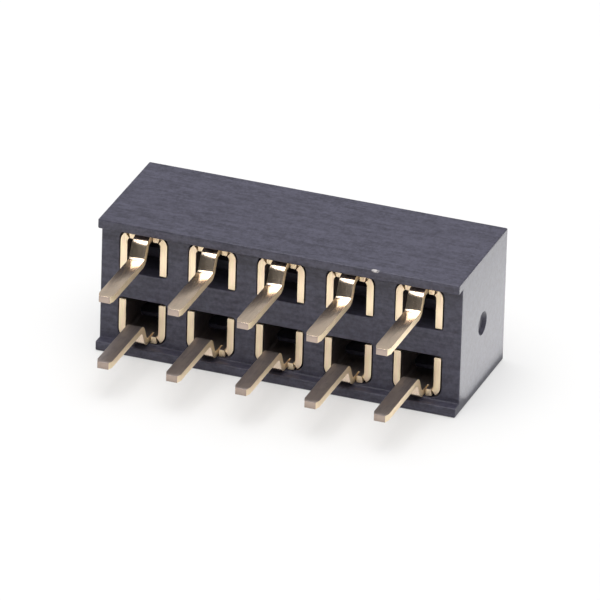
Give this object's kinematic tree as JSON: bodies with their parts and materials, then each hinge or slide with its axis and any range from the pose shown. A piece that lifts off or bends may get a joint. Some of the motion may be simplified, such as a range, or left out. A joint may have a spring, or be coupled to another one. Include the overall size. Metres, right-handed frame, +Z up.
{
  "type": "socket header",
  "caption": "Dual-row straight socket header: dark moulded block with board rails and square lead-in sockets, and folded metal contacts with stepped solder tails.",
  "frame": {"origin": "under the middle of the whole part, tails included, on the surface it lies on", "axes": "+X along the rows of contacts; +Y towards the mating face, where the sockets open; -Y towards the board, the way the tails point; +Z up, away from the long side it lies on"},
  "size_m": [0.0132, 0.0084, 0.0051],
  "materials": {
    "housing_plastic": "moulded dark slate thermoplastic, fine satin grain",
    "contact_metal": "thin pale gold plating on stamped copper alloy sheet"
  },
  "bodies": {
    "root": {"housing": "housing_plastic", "contact_a1": "contact_metal", "contact_a2": "contact_metal", "contact_a3": "contact_metal", "contact_a4": "contact_metal", "contact_a5": "contact_metal", "contact_b1": "contact_metal", "contact_b2": "contact_metal", "contact_b3": "contact_metal", "contact_b4": "contact_metal", "contact_b5": "contact_metal"}
  },
  "joints": []
}
